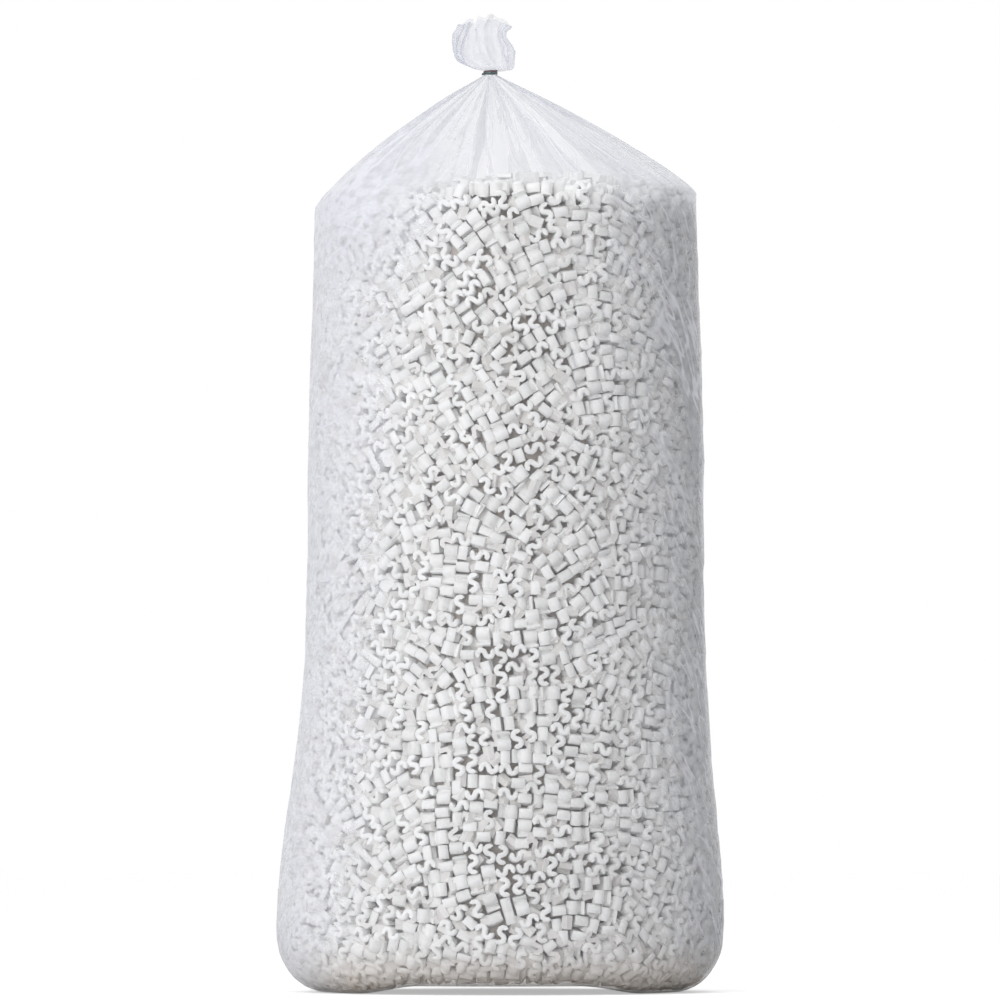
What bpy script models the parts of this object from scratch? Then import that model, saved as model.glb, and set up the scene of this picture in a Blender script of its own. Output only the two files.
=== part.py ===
"""A clear film bag filled with S-shaped foam packing peanuts, gathered and tied at the neck.

Metres, +Z up. The origin is on the floor, under the middle of the standing bag. X runs across the bag's
width, from corner to corner of its foot, and the front faces -Y.
"""

import math
import random
from collections import namedtuple

import bmesh
import bpy
from mathutils import Matrix, Vector
from mathutils.bvhtree import BVHTree

# Heights of the bag's stretches, from the floor up
FOOT_HEIGHT = 0.106
WALL_HEIGHT = 1.296
CONE_HEIGHT = 0.221
MOUTH_HEIGHT = 0.097

# Outside sizes of the filled bag, from the sole up
SOLE_WIDTH = 0.612
SOLE_DEPTH = 0.520
FOOT_WIDTH = 0.787
FOOT_DEPTH = 0.690
BODY_WIDTH = 0.698
BODY_DEPTH = 0.672
SHOULDER_WIDTH = 0.676
SHOULDER_DEPTH = 0.640
NECK_RADIUS = 0.0100
MOUTH_RADIUS = 0.046
FILM_THICKNESS = 0.0001

# How the bag leans and sags
SHOULDER_DROP = 0.013
SHOULDER_OFFSET = 0.010
NECK_OFFSET = -0.017
MOUTH_LEAN = -0.015
FOOT_FADE = 0.32
SHOULDER_EASE_START = 0.65
CONE_BULGE = 0.022

# The sole arches up between the two corners of the foot, which stand on the floor
ARCH_HEIGHT = 0.014
ARCH_HALF_WIDTH = 0.25
ARCH_EASE = 0.11

# Folds of the film. The mesh has four points to a pleat, so that each is a ridge and a valley.
PLEATS = 16
POINTS_PER_PLEAT = 4
PLEAT_DEPTH = 0.008
SHOULDER_PLEAT_DEPTH = 0.0012
NECK_PLEAT_DEPTH = 0.0012
MOUTH_PLEAT_DEPTH = 0.0036
MOUTH_LOBES = 5
MOUTH_LOBE_DEPTH = 0.013
MOUTH_RIM_WAVE = 0.0045
PLEAT_UNEVENNESS = 0.28

# The tie: a flat coated strip wound round the neck, with one end sticking out
TIE_STRIP_HEIGHT = 0.0036
TIE_STRIP_THICKNESS = 0.0012
TIE_TURNS = 1.6
TIE_PITCH = 0.0040
TIE_TAIL = 0.009
TIE_START_DEG = -135.0
TIE_STEPS_PER_TURN = 24

# A foam peanut: a square-edged strand bent round two equal bends into an S
PEANUT_BEND_RADIUS = 0.0070
PEANUT_STRAND = 0.0085
PEANUT_DEPTH = 0.0225
PEANUT_SWEEP_DEG = 170.0
PEANUT_STEPS = 4

# The settled fill, bumpy with the peanuts in it, and the loose ones on its mounded top
BUMP_DEPTH = 0.011
HOLLOW_DEPTH = 0.019
HOLLOW_UNEVENNESS = 0.006
FILL_RING_SPACING = 0.027
FILL_AROUND = 96
FILL_TOP_DROP = 0.016
FILL_MOUND = 0.018
LOOSE_PEANUTS = 42
LOOSE_SPREAD = 0.255

FILM_CLEARANCE = 0.0010
SEAT_GAP = 0.0003

# Where the mesh has its rings, as shares of each stretch
SOLE_SHARES = (0.25, 0.5, 0.72, 0.88)
HEEL_TURNS_DEG = (0, 26, 52, 90)
WALL_SHARES = (0.1, 0.2, 0.32, 0.46, 0.62, 0.78, 0.9, 0.97)
CONE_SHARES = (0, 0.06, 0.18, 0.34, 0.52, 0.70, 0.84, 0.94, 1)
MOUTH_SHARES = (0, 0.07, 0.18, 0.36, 0.58, 0.8, 1)
MOUND_SHARES = (0.93, 0.82, 0.69, 0.55, 0.41, 0.26, 0.11)

AROUND = PLEATS * POINTS_PER_PLEAT
SHOULDER_HEIGHT = FOOT_HEIGHT + WALL_HEIGHT
NECK_HEIGHT = SHOULDER_HEIGHT + CONE_HEIGHT
TIE_HEIGHT = TIE_STRIP_HEIGHT + TIE_PITCH * TIE_TURNS
SEED = 7

# One level of the film: its height, how that height tips from side to side, and the outline's sizes there
Level = namedtuple("Level", "height tip lift half_width half_depth centre_x pleat lobe rim")


def blend(low, high, share):
    """The value this share of the way from low to high."""
    return low + (high - low) * share


def eased(share):
    """A share, held between 0 and 1, that starts and ends gently."""
    share = max(0.0, min(1.0, share))
    return share * share * (3 - 2 * share)


def foot_levels():
    """The sole on the floor, and the heel that curves up from it to the widest level."""
    sole = Level(0.0, 0.0, ARCH_HEIGHT, SOLE_WIDTH / 2, SOLE_DEPTH / 2, 0.0, 0.0, 0.0, 0.0)
    levels = [
        sole._replace(half_width=sole.half_width * share, half_depth=sole.half_depth * share)
        for share in SOLE_SHARES
    ]
    for heel_deg in HEEL_TURNS_DEG:
        up = 1 - math.cos(math.radians(heel_deg))
        out = math.sin(math.radians(heel_deg))
        levels.append(
            sole._replace(
                height=FOOT_HEIGHT * up,
                lift=ARCH_HEIGHT * (1 - up),
                half_width=blend(sole.half_width, FOOT_WIDTH / 2, out),
                half_depth=blend(sole.half_depth, FOOT_DEPTH / 2, out),
            )
        )
    return levels


def wall_level(share):
    """The wall, share of the way from the foot to the shoulder. It draws in low down and near the top."""
    height = FOOT_HEIGHT + WALL_HEIGHT * share
    spread = math.exp(-((WALL_HEIGHT * share / FOOT_FADE) ** 2))
    top = eased((share - SHOULDER_EASE_START) / (1 - SHOULDER_EASE_START))
    half_width = blend(BODY_WIDTH, FOOT_WIDTH, spread) / 2
    half_depth = blend(BODY_DEPTH, FOOT_DEPTH, spread) / 2
    return Level(
        height=height,
        tip=SHOULDER_DROP * share**3,
        lift=0.0,
        half_width=blend(half_width, SHOULDER_WIDTH / 2, top),
        half_depth=blend(half_depth, SHOULDER_DEPTH / 2, top),
        centre_x=SHOULDER_OFFSET * (1 - spread),
        pleat=SHOULDER_PLEAT_DEPTH * top,
        lobe=0.0,
        rim=0.0,
    )


def cone_level(share):
    """The pleated film above the fill, share of the way from the shoulder up to the tie."""
    bulge = CONE_BULGE * 4 * share * (1 - share)
    along_fold = math.sin(math.pi * share) ** 0.8
    return Level(
        height=SHOULDER_HEIGHT + CONE_HEIGHT * share,
        tip=SHOULDER_DROP * (1 - share) ** 2,
        lift=0.0,
        half_width=blend(SHOULDER_WIDTH / 2, NECK_RADIUS, share) + bulge,
        half_depth=blend(SHOULDER_DEPTH / 2, NECK_RADIUS, share) + bulge,
        centre_x=blend(SHOULDER_OFFSET, NECK_OFFSET, share),
        pleat=blend(SHOULDER_PLEAT_DEPTH, NECK_PLEAT_DEPTH, share) + PLEAT_DEPTH * along_fold,
        lobe=0.0,
        rim=0.0,
    )


def mouth_level(share):
    """The bunched mouth above the tie, which opens into a ruffle, draws in again and leans to one side."""
    opening = math.sin(math.pi * (0.08 + 0.80 * share)) ** 0.55
    radius = blend(NECK_RADIUS, MOUTH_RADIUS, opening * min(1.0, share * 5))
    return Level(
        height=NECK_HEIGHT + TIE_HEIGHT + MOUTH_HEIGHT * share,
        tip=0.0,
        lift=0.0,
        half_width=radius,
        half_depth=radius * 0.86,
        centre_x=NECK_OFFSET + MOUTH_LEAN * eased(share * 2),
        pleat=blend(NECK_PLEAT_DEPTH, MOUTH_PLEAT_DEPTH, min(1.0, share * 3)),
        lobe=MOUTH_LOBE_DEPTH * eased(share),
        rim=MOUTH_RIM_WAVE * eased(share),
    )


def film_levels():
    """Every level of the film, from the sole's middle up to the open mouth."""
    wall = [wall_level(share) for share in WALL_SHARES]
    cone = [cone_level(share) for share in CONE_SHARES]
    mouth = [mouth_level(share) for share in MOUTH_SHARES]
    return foot_levels() + wall + cone + mouth


def pleat_wave(turn):
    """Ridges and valleys round the bag, from 1 to -1, uneven because the film is bunched by hand."""
    evenness = 1 - PLEAT_UNEVENNESS * (1 - math.sin(3 * turn + 0.8))
    return math.sin(turn * PLEATS) * evenness


def point_on(level, turn, inset=0.0):
    """A point of the film's outside at one level, or inset metres inside it."""
    fold = level.pleat * pleat_wave(turn)
    fold += level.lobe * math.sin(turn * MOUTH_LOBES + 1.1)
    across = (level.half_width + fold - inset) * math.cos(turn)
    along = (level.half_depth + fold - inset) * math.sin(turn)
    arch = level.lift * eased((ARCH_HALF_WIDTH - abs(across)) / ARCH_EASE)
    tip = level.tip * math.cos(turn)
    rim = level.rim * (math.sin(turn * 3 + 0.4) - 1)
    return Vector((level.centre_x + across, along, level.height + tip + arch + rim))


def ring_of(level, inset=0.0, points=AROUND):
    """All the points round one level."""
    return [point_on(level, 2 * math.pi * i / points, inset) for i in range(points)]


def level_between(levels, height):
    """The level at any height, straight between the film's own, so that the fill follows its facets."""
    for low, high in zip(levels, levels[1:]):
        if low.height <= height <= high.height and high.height > low.height:
            share = (height - low.height) / (high.height - low.height)
            return Level(*(blend(a, b, share) for a, b in zip(low, high)))
    return levels[-1]


def lofted_tube(rings, closed_top):
    """A skin through rings of points. The first ring is closed by a fan of faces, and the last if asked."""
    around, last = len(rings[0]), len(rings) - 1
    skin = bmesh.new()
    bmesh.ops.create_grid(skin, x_segments=around, y_segments=last, size=0.5)
    for vertex in skin.verts:
        ring = rings[round((vertex.co.y + 0.5) * last)]
        vertex.co = ring[round((vertex.co.x + 0.5) * around) % around]
    bmesh.ops.remove_doubles(skin, verts=skin.verts, dist=SEAT_GAP / 1000)
    middle = (rings[0][0].z + rings[-1][0].z) / 2
    rims = [edge for edge in skin.edges if edge.is_boundary]
    low = [edge for edge in rims if edge.verts[0].co.z < middle]
    high = [edge for edge in rims if edge.verts[0].co.z > middle]
    for end in [low, high] if closed_top else [low]:
        fan = bmesh.ops.contextual_create(skin, geom=end)["faces"]
        bmesh.ops.poke(skin, faces=fan)
    bmesh.ops.recalc_face_normals(skin, faces=skin.faces)
    if skin.calc_volume(signed=True) < 0:
        bmesh.ops.reverse_faces(skin, faces=skin.faces)
    return skin


def new_object(name, skin, material, collection):
    """A named object from a bmesh, with its material."""
    mesh = bpy.data.meshes.new(name)
    skin.to_mesh(mesh)
    skin.free()
    mesh.materials.append(material)
    mesh.shade_smooth()
    mesh.set_sharp_from_angle(angle=math.radians(40))
    made = bpy.data.objects.new(name, mesh)
    collection.objects.link(made)
    return made


def make_material(name, colour, roughness, alpha=1.0):
    """A plain Principled material."""
    material = bpy.data.materials.new(name)
    material.use_nodes = True
    shader = material.node_tree.nodes["Principled BSDF"]
    shader.inputs["Base Color"].default_value = (*colour, 1.0)
    shader.inputs["Roughness"].default_value = roughness
    shader.inputs["Metallic"].default_value = 0.0
    shader.inputs["Alpha"].default_value = alpha
    return material


def make_film(levels, material, collection):
    """The bag: one tube of film, closed under the sole, gathered at the tie and open at its bunched mouth."""
    skin = lofted_tube([ring_of(level) for level in levels], closed_top=False)
    film = new_object("bag_film", skin, material, collection)
    wall = film.modifiers.new("film wall", "SOLIDIFY")
    wall.thickness = FILM_THICKNESS
    wall.offset = -1.0
    return film


def bumpy_side(level, row, bumps):
    """A ring of the fill against the film. Its points bulge and sink in turn, staggered from ring to ring."""
    ring = []
    for i in range(FILL_AROUND):
        hollow = (HOLLOW_DEPTH - HOLLOW_UNEVENNESS) * ((i + row) % 2)
        inset = FILM_CLEARANCE + hollow + HOLLOW_UNEVENNESS * bumps.random()
        ring.append(point_on(level, 2 * math.pi * i / FILL_AROUND, inset))
    return ring


def bumpy_sheet(level, bumps, lift):
    """A ring of the fill's sole or top, with its points raised by lift and up to a bump's depth more."""
    ring = ring_of(level, FILM_CLEARANCE, FILL_AROUND)
    return [place + Vector((0, 0, lift + bumps.random() * BUMP_DEPTH)) for place in ring]


def fill_rings(levels, bumps):
    """The rings of the settled fill: the sole, the side that presses on the film, and the mounded top."""
    seat = FILM_THICKNESS + SEAT_GAP
    sole = [level for level in levels if level.height == 0.0]
    heel = [level for level in levels if 0.0 < level.height < FOOT_HEIGHT]
    top = SHOULDER_HEIGHT - FILL_TOP_DROP
    steps = round((top - FOOT_HEIGHT) / FILL_RING_SPACING)
    heights = [blend(FOOT_HEIGHT, top, step / steps) for step in range(steps + 1)]
    side = heel + [level_between(levels, height) for height in heights]
    rings = [bumpy_sheet(level, bumps, seat) for level in sole]
    for row, level in enumerate(side):
        rings.append(bumpy_side(level._replace(height=level.height + seat), row, bumps))
    for share in MOUND_SHARES:
        level = side[-1]._replace(
            half_width=side[-1].half_width * share,
            half_depth=side[-1].half_depth * share,
            pleat=0.0,
        )
        rings.append(bumpy_sheet(level, bumps, FILL_MOUND * (1 - share * share)))
    return rings


def make_fill(levels, material, collection):
    """The settled mass of peanuts, which rests on the sole and presses out on the film, as one bumpy solid."""
    skin = lofted_tube(fill_rings(levels, random.Random(SEED)), closed_top=True)
    return new_object("peanut_fill", skin, material, collection)


def upright_section(width, height):
    """A skin of one upright rectangle about the origin, which faces along Y, ready to be spun."""
    skin = bmesh.new()
    bmesh.ops.create_grid(skin, x_segments=1, y_segments=1, size=0.5)
    size = Matrix.Diagonal((width, 1.0, height, 1.0))
    turned = Matrix.Rotation(math.radians(90), 4, "X")
    bmesh.ops.transform(skin, matrix=size @ turned, verts=skin.verts)
    return skin


def face_at(skin, place):
    """The face whose middle is nearest to a place."""
    return min(skin.faces, key=lambda face: (face.calc_center_median() - Vector(place)).length)


def peanut_skin():
    """One peanut, standing on its S-shaped side: a square-edged strand spun round two bends in turn."""
    skin = upright_section(PEANUT_STRAND, PEANUT_DEPTH)
    for side in (-1, 1):
        section = face_at(skin, (0, 0, 0))
        bmesh.ops.spin(
            skin,
            geom=[section] + list(section.edges) + list(section.verts),
            cent=(side * PEANUT_BEND_RADIUS, 0, 0),
            axis=(0, 0, 1),
            angle=math.radians(PEANUT_SWEEP_DEG),
            steps=PEANUT_STEPS,
        )
    bmesh.ops.recalc_face_normals(skin, faces=skin.faces)
    return skin


def lower_onto(skin, fill_tree):
    """Lower the skin until it almost touches the fill, in steps that halve each time it would cut into it."""
    step = PEANUT_STRAND / 2
    while step > SEAT_GAP / 4:
        bmesh.ops.translate(skin, vec=(0, 0, -step), verts=skin.verts)
        if BVHTree.FromBMesh(skin).overlap(fill_tree):
            bmesh.ops.translate(skin, vec=(0, 0, step), verts=skin.verts)
            step /= 2
    bmesh.ops.translate(skin, vec=(0, 0, SEAT_GAP), verts=skin.verts)


def make_loose_peanuts(fill, material, collection):
    """Separate peanuts on the fill's top, spaced along a golden-angle spiral and each lowered onto it."""
    turns = random.Random(SEED + 1)
    surface = bmesh.new()
    surface.from_mesh(fill.data)
    fill_tree = BVHTree.FromBMesh(surface)
    surface.free()
    golden = math.pi * (3 - math.sqrt(5))
    for number in range(LOOSE_PEANUTS):
        reach = LOOSE_SPREAD * math.sqrt((number + 0.5) / LOOSE_PEANUTS)
        across = SHOULDER_OFFSET + reach * math.cos(number * golden)
        along = reach * math.sin(number * golden) * SHOULDER_DEPTH / SHOULDER_WIDTH
        lying = Matrix.Rotation(math.radians(turns.choice((0, 0, 90))), 4, "X")
        turned = Matrix.Rotation(turns.uniform(0, 2 * math.pi), 4, "Z")
        skin = peanut_skin()
        above = Matrix.Translation((across, along, NECK_HEIGHT))
        bmesh.ops.transform(skin, matrix=above @ turned @ lying, verts=skin.verts)
        lower_onto(skin, fill_tree)
        new_object(f"peanut_{number + 1:02d}", skin, material, collection)


def make_tie(material, collection):
    """The tie: a flat strip wound round the gathered neck in a shallow helix, with its lower end left out."""
    skin = upright_section(TIE_STRIP_THICKNESS, TIE_STRIP_HEIGHT)
    middle = NECK_RADIUS + NECK_PLEAT_DEPTH + SEAT_GAP + TIE_STRIP_THICKNESS / 2
    bmesh.ops.translate(skin, vec=(middle, 0, 0), verts=skin.verts)
    steps = round(TIE_TURNS * TIE_STEPS_PER_TURN)
    bmesh.ops.spin(
        skin,
        geom=list(skin.verts) + list(skin.edges) + list(skin.faces),
        cent=(0, 0, 0),
        axis=(0, 0, 1),
        dvec=(0, 0, TIE_PITCH * TIE_TURNS / steps),
        angle=2 * math.pi * TIE_TURNS,
        steps=steps,
    )
    tail = bmesh.ops.extrude_discrete_faces(skin, faces=[face_at(skin, (middle, 0, 0))])
    bmesh.ops.translate(skin, vec=(0, -TIE_TAIL, 0), verts=tail["faces"][0].verts)
    bmesh.ops.recalc_face_normals(skin, faces=skin.faces)
    seated = Matrix.Translation((NECK_OFFSET, 0, NECK_HEIGHT + TIE_STRIP_HEIGHT / 2))
    turned = Matrix.Rotation(math.radians(TIE_START_DEG), 4, "Z")
    bmesh.ops.transform(skin, matrix=seated @ turned, verts=skin.verts)
    return new_object("neck_tie", skin, material, collection)


def main():
    for old in list(bpy.data.objects):
        bpy.data.objects.remove(old)
    bag = bpy.data.collections.new("packing_peanut_bag")
    bpy.context.scene.collection.children.link(bag)
    film_look = make_material("clear film", (0.90, 0.92, 0.95), 0.15, alpha=0.25)
    foam_look = make_material("white foam", (0.93, 0.93, 0.92), 0.75)
    tie_look = make_material("dark tie", (0.10, 0.08, 0.08), 0.5)
    levels = film_levels()
    make_film(levels, film_look, bag)
    fill = make_fill(levels, foam_look, bag)
    make_loose_peanuts(fill, foam_look, bag)
    make_tie(tie_look, bag)


main()
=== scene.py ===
import math

import bmesh
import bpy
import numpy as np
from mathutils import Matrix, Vector, kdtree, noise
from mathutils.bvhtree import BVHTree


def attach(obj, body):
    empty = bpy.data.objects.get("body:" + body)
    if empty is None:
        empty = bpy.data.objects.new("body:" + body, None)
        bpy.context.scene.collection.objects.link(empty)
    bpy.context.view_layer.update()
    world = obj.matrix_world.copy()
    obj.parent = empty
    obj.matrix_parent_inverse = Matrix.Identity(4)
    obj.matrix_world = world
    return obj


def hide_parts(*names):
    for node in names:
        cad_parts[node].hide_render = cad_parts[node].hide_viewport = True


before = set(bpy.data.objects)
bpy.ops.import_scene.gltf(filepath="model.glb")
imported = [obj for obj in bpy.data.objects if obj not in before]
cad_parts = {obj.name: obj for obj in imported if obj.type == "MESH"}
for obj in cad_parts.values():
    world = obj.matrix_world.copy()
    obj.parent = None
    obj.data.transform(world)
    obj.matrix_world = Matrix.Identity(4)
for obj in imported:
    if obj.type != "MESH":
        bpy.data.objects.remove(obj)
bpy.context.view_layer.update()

# The bag's own sizes in metres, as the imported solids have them
FOOT_HEIGHT, WALL_HEIGHT, CONE_HEIGHT, MOUTH_HEIGHT = 0.106, 1.296, 0.221, 0.097
SOLE_WIDTH, SOLE_DEPTH = 0.612, 0.520
FOOT_WIDTH, FOOT_DEPTH = 0.787, 0.690
BODY_WIDTH, BODY_DEPTH = 0.698, 0.672
SHOULDER_WIDTH, SHOULDER_DEPTH = 0.676, 0.640
NECK_RADIUS, MOUTH_RADIUS, TIE_HEIGHT = 0.0100, 0.046, 0.010
SHOULDER_DROP, SHOULDER_OFFSET, NECK_OFFSET, MOUTH_LEAN = 0.013, 0.010, -0.017, -0.015
FOOT_FADE, SHOULDER_EASE_START, CONE_BULGE = 0.32, 0.65, 0.022
ARCH_HEIGHT, ARCH_HALF_WIDTH, ARCH_EASE = 0.014, 0.25, 0.11
FILL_TOP_DROP = 0.016
SHOULDER_HEIGHT = FOOT_HEIGHT + WALL_HEIGHT
NECK_HEIGHT = SHOULDER_HEIGHT + CONE_HEIGHT

FILM_THICKNESS = 0.00015
FILM_POINTS_AROUND = 200

# The bunched mouth's left and right edges, from the tie up: how far out from the neck's axis, and how high
MOUTH_LEFT = (
    (0.010, 0.000), (0.022, 0.001), (0.035, 0.003), (0.055, 0.013), (0.064, 0.024), (0.067, 0.034),
    (0.0655, 0.045), (0.064, 0.056), (0.058, 0.066), (0.054, 0.075), (0.050, 0.080),
)
MOUTH_RIGHT = (
    (0.010, 0.000), (0.024, -0.002), (0.039, 0.000), (0.040, 0.010), (0.0385, 0.022), (0.0375, 0.032),
    (0.034, 0.042), (0.028, 0.052), (0.028, 0.062), (0.034, 0.070), (0.039, 0.077),
)
# The mouth's rim, from left to right: the place across, and how high the film reaches there
MOUTH_RIM = (
    (-0.050, 0.080), (-0.040, 0.087), (-0.031, 0.089), (-0.027, 0.076), (-0.022, 0.091),
    (-0.010, 0.090), (-0.004, 0.0945), (0.008, 0.0927), (0.026, 0.0856), (0.036, 0.077),
)

# An S-shaped peanut: the radius of its two bends, its strand's width, its depth, and how far each bend turns
BEND_RADIUS, STRAND, PEANUT_DEPTH, SWEEP_DEG = 0.0067, 0.0090, 0.0236, 222.0
PEANUT_CHAMFER, TAIL_SHARE, TAIL_ROUNDING = 0.0012, 0.93, 0.0028

# The packing: the wall's share for each peanut, and its distance behind the film
PEANUT_AREA, FILM_CLEARANCE, HEAP_CROWDING = 0.000800, 0.0030, 0.82
SETTLING_ROUNDS, HEAP_ROUNDS, RECOUNT_EVERY = 320, 60, 8
NEIGHBOUR_REACH, MOST_CROSSING = 0.042, 0.0016
GAP_STEP, GAP_LEAST_ROOM, GAP_SPACING = 0.0065, 0.0010, 0.0145
WALL_BANDS = 5

CAMERA_DISTANCE, CAMERA_HEIGHT, AIM_HEIGHT = 12.0, 0.25, 0.868
METRES_PER_PIXEL, PIXELS_ACROSS, SENSOR_WIDTH = 0.00177, 1000, 36

TURN = 2 * math.pi


def eased(share):
    """A share, held between 0 and 1, that starts and ends gently."""
    share = np.clip(share, 0.0, 1.0)
    return share * share * (3 - 2 * share)


def blend(low, high, share):
    return low + (high - low) * share


# The bag's outline, from the sole up

FIELDS = ("height", "tip", "lift", "half_width", "half_depth", "centre_x", "gather", "mouth")


def outline_rows(**fields):
    count = len(fields["height"])
    return np.array([np.broadcast_to(fields.get(name, 0.0), count) for name in FIELDS], float)


def sole_outline(share):
    return outline_rows(height=0 * share, lift=ARCH_HEIGHT, half_width=SOLE_WIDTH / 2 * share,
                        half_depth=SOLE_DEPTH / 2 * share)


def heel_outline(share):
    up, out = 1 - np.cos(share * math.pi / 2), np.sin(share * math.pi / 2)
    return outline_rows(height=FOOT_HEIGHT * up, lift=ARCH_HEIGHT * (1 - up),
                        half_width=blend(SOLE_WIDTH, FOOT_WIDTH, out) / 2,
                        half_depth=blend(SOLE_DEPTH, FOOT_DEPTH, out) / 2)


def wall_outline(share):
    spread = np.exp(-((WALL_HEIGHT * share / FOOT_FADE) ** 2))
    top = eased((share - SHOULDER_EASE_START) / (1 - SHOULDER_EASE_START))
    half_width = blend(BODY_WIDTH, FOOT_WIDTH, spread) / 2
    half_depth = blend(BODY_DEPTH, FOOT_DEPTH, spread) / 2
    return outline_rows(height=FOOT_HEIGHT + WALL_HEIGHT * share, tip=SHOULDER_DROP * share**3,
                        half_width=blend(half_width, SHOULDER_WIDTH / 2, top),
                        half_depth=blend(half_depth, SHOULDER_DEPTH / 2, top),
                        centre_x=SHOULDER_OFFSET * (1 - spread), gather=-0.05 * (1 - share))


def cone_outline(share):
    bulge = CONE_BULGE * 4 * share * (1 - share)
    return outline_rows(height=SHOULDER_HEIGHT + CONE_HEIGHT * share, tip=SHOULDER_DROP * (1 - share) ** 2,
                        half_width=blend(SHOULDER_WIDTH / 2, NECK_RADIUS, share) + bulge,
                        half_depth=blend(SHOULDER_DEPTH / 2, NECK_RADIUS, share) + bulge,
                        centre_x=blend(SHOULDER_OFFSET, NECK_OFFSET, share), gather=share)


def neck_outline(share):
    return outline_rows(height=NECK_HEIGHT + TIE_HEIGHT * share, half_width=NECK_RADIUS,
                        half_depth=NECK_RADIUS, centre_x=NECK_OFFSET, gather=1.0)


def mouth_outline(share):
    opening = np.sin(math.pi * (0.08 + 0.80 * share)) ** 0.55
    radius = blend(NECK_RADIUS, MOUTH_RADIUS, opening * np.minimum(1.0, share * 5))
    return outline_rows(height=NECK_HEIGHT + TIE_HEIGHT + MOUTH_HEIGHT * share, half_width=radius,
                        half_depth=radius * 0.86, centre_x=NECK_OFFSET + MOUTH_LEAN * eased(share * 2),
                        gather=1.0, mouth=share)


SHARES = np.linspace(0, 1, 161)
STRETCHES = (sole_outline, heel_outline, wall_outline, cone_outline, neck_outline, mouth_outline)
OUTLINE = np.concatenate([stretch(SHARES) for stretch in STRETCHES], axis=1)
steps = np.hypot(np.diff(OUTLINE[0]), np.diff(OUTLINE[3]))
LENGTHS = np.concatenate([[0.0], np.cumsum(steps + 1e-7)])
STARTS = LENGTHS[:: len(SHARES)]
SOLE_END, HEEL_END, SHOULDER, NECK, MOUTH_START, MOUTH_END = *STARTS[1:], LENGTHS[-1]


def outline_at(length):
    return {name: np.interp(length, LENGTHS, row) for name, row in zip(FIELDS, OUTLINE)}


# Folds of the film

fold_random = np.random.default_rng(11)
CONE_FOLDS = [
    (count, depth, phase, bend)
    for count, depth, phase, bend in zip(
        (5, 8, 13, 16, 23, 31),
        (0.005, 0.004, 0.0048, 0.0044, 0.0038, 0.0028),
        fold_random.uniform(0, TURN, 6),
        fold_random.uniform(-0.5, 0.5, 6),
    )
]


def fold_wave(angle):
    """A wave with narrow ridges and wide hollows, as film folds, from about -0.5 to 1."""
    return np.exp(1.6 * (np.sin(angle) - 1)) * 1.6 - 0.6


def gathered_folds(turn, level):
    """Folds that run up the cone to the neck, no deeper than their width lets them be."""
    radius = level["half_width"]
    share = level["gather"]
    total = np.zeros_like(turn)
    for count, depth, phase, bend in CONE_FOLDS:
        width = TURN * radius / count
        reach = eased((share + 0.10) / 0.45) if count < 14 else eased((share - 0.12) / 0.5)
        most = np.minimum(depth, 0.13 * width)
        total += most * reach * fold_wave(turn * count + phase + bend * share * 2)
    return total * (1 - 0.9 * eased(level["mouth"] * 3)) * np.where(share > -0.04, 1, 0)


def mouth_folds(turn, share):
    """The pleats above the tie, and the lobes that they open into."""
    pleats = 0.0018 * fold_wave(turn * 19 + 1.3 * np.sin(3 * share)) * eased(share * 14)
    pleats *= 1 - eased(share * 3.0)
    lobes = 0.0050 * fold_wave(turn * 5 + 2.4 + 1.2 * share) * eased(share * 3)
    folds = 0.0030 * fold_wave(turn * 9 + 0.7 + 2.2 * np.sin(2.6 * share)) * eased(share * 3)
    return pleats + lobes + folds


def mouth_place(turn, share, out):
    """Places on the bunched mouth, which leans to the left and flares low on the right."""
    stations = np.linspace(0, 1, len(MOUTH_LEFT))
    (left, left_rise), (right, right_rise) = (
        [np.interp(share, stations, row) for row in np.transpose(edge)] for edge in (MOUTH_LEFT, MOUTH_RIGHT))
    fold = mouth_folds(turn, share) + out
    across = (right - left) / 2 + ((right + left) / 2 + fold) * np.cos(turn)
    along = ((right + left) / 2 * blend(1.0, 0.72, eased(share * 4)) + fold) * np.sin(turn)
    rise = blend(left_rise, right_rise, (1 + np.cos(turn)) / 2)
    rim = np.interp(across, *np.transpose(MOUTH_RIM)) + 0.0018 * np.sin(turn * 11 + 1.0) * np.sin(turn)
    rise += (rim - blend(MOUTH_LEFT[-1][1], MOUTH_RIGHT[-1][1], (1 + np.cos(turn)) / 2)) * eased(share) ** 1.5
    return np.stack([NECK_OFFSET + across, along, NECK_HEIGHT + TIE_HEIGHT + rise], axis=-1)


def film_place(turn, length, out=0.0):
    """Places on the film, out metres outside its plain form."""
    level = outline_at(length)
    fold = gathered_folds(turn, level) + out
    across = (level["half_width"] + fold) * np.cos(turn)
    along = (level["half_depth"] + fold) * np.sin(turn)
    arch = level["lift"] * eased((ARCH_HALF_WIDTH - np.abs(across)) / ARCH_EASE)
    height = level["height"] + level["tip"] * np.cos(turn) + arch
    place = np.stack([level["centre_x"] + across, along, height], axis=-1)
    in_mouth = (level["mouth"] > 0)[..., None]
    return np.where(in_mouth, mouth_place(turn, level["mouth"], out), place)


def film_frames(turn, length):
    """Places on the film, with the level direction, the rising direction and the outward normal there."""
    small = 0.002
    place = film_place(turn, length)
    level = film_place(turn + small, length) - film_place(turn - small, length)
    rising = film_place(turn, length + small) - film_place(turn, length - small)
    level /= np.linalg.norm(level, axis=1, keepdims=True)
    out = np.cross(level, rising)
    out /= np.linalg.norm(out, axis=1, keepdims=True)
    return place, level, np.cross(out, level), out


def ridged(place, size, seed):
    """Noise with thin ridges, from 0 to 1."""
    value = noise.noise(Vector((place[0] / size[0], place[1] / size[1], place[2] / size[2] + seed)))
    return max(0.0, 1 - 3.2 * abs(value)) ** 2


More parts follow.
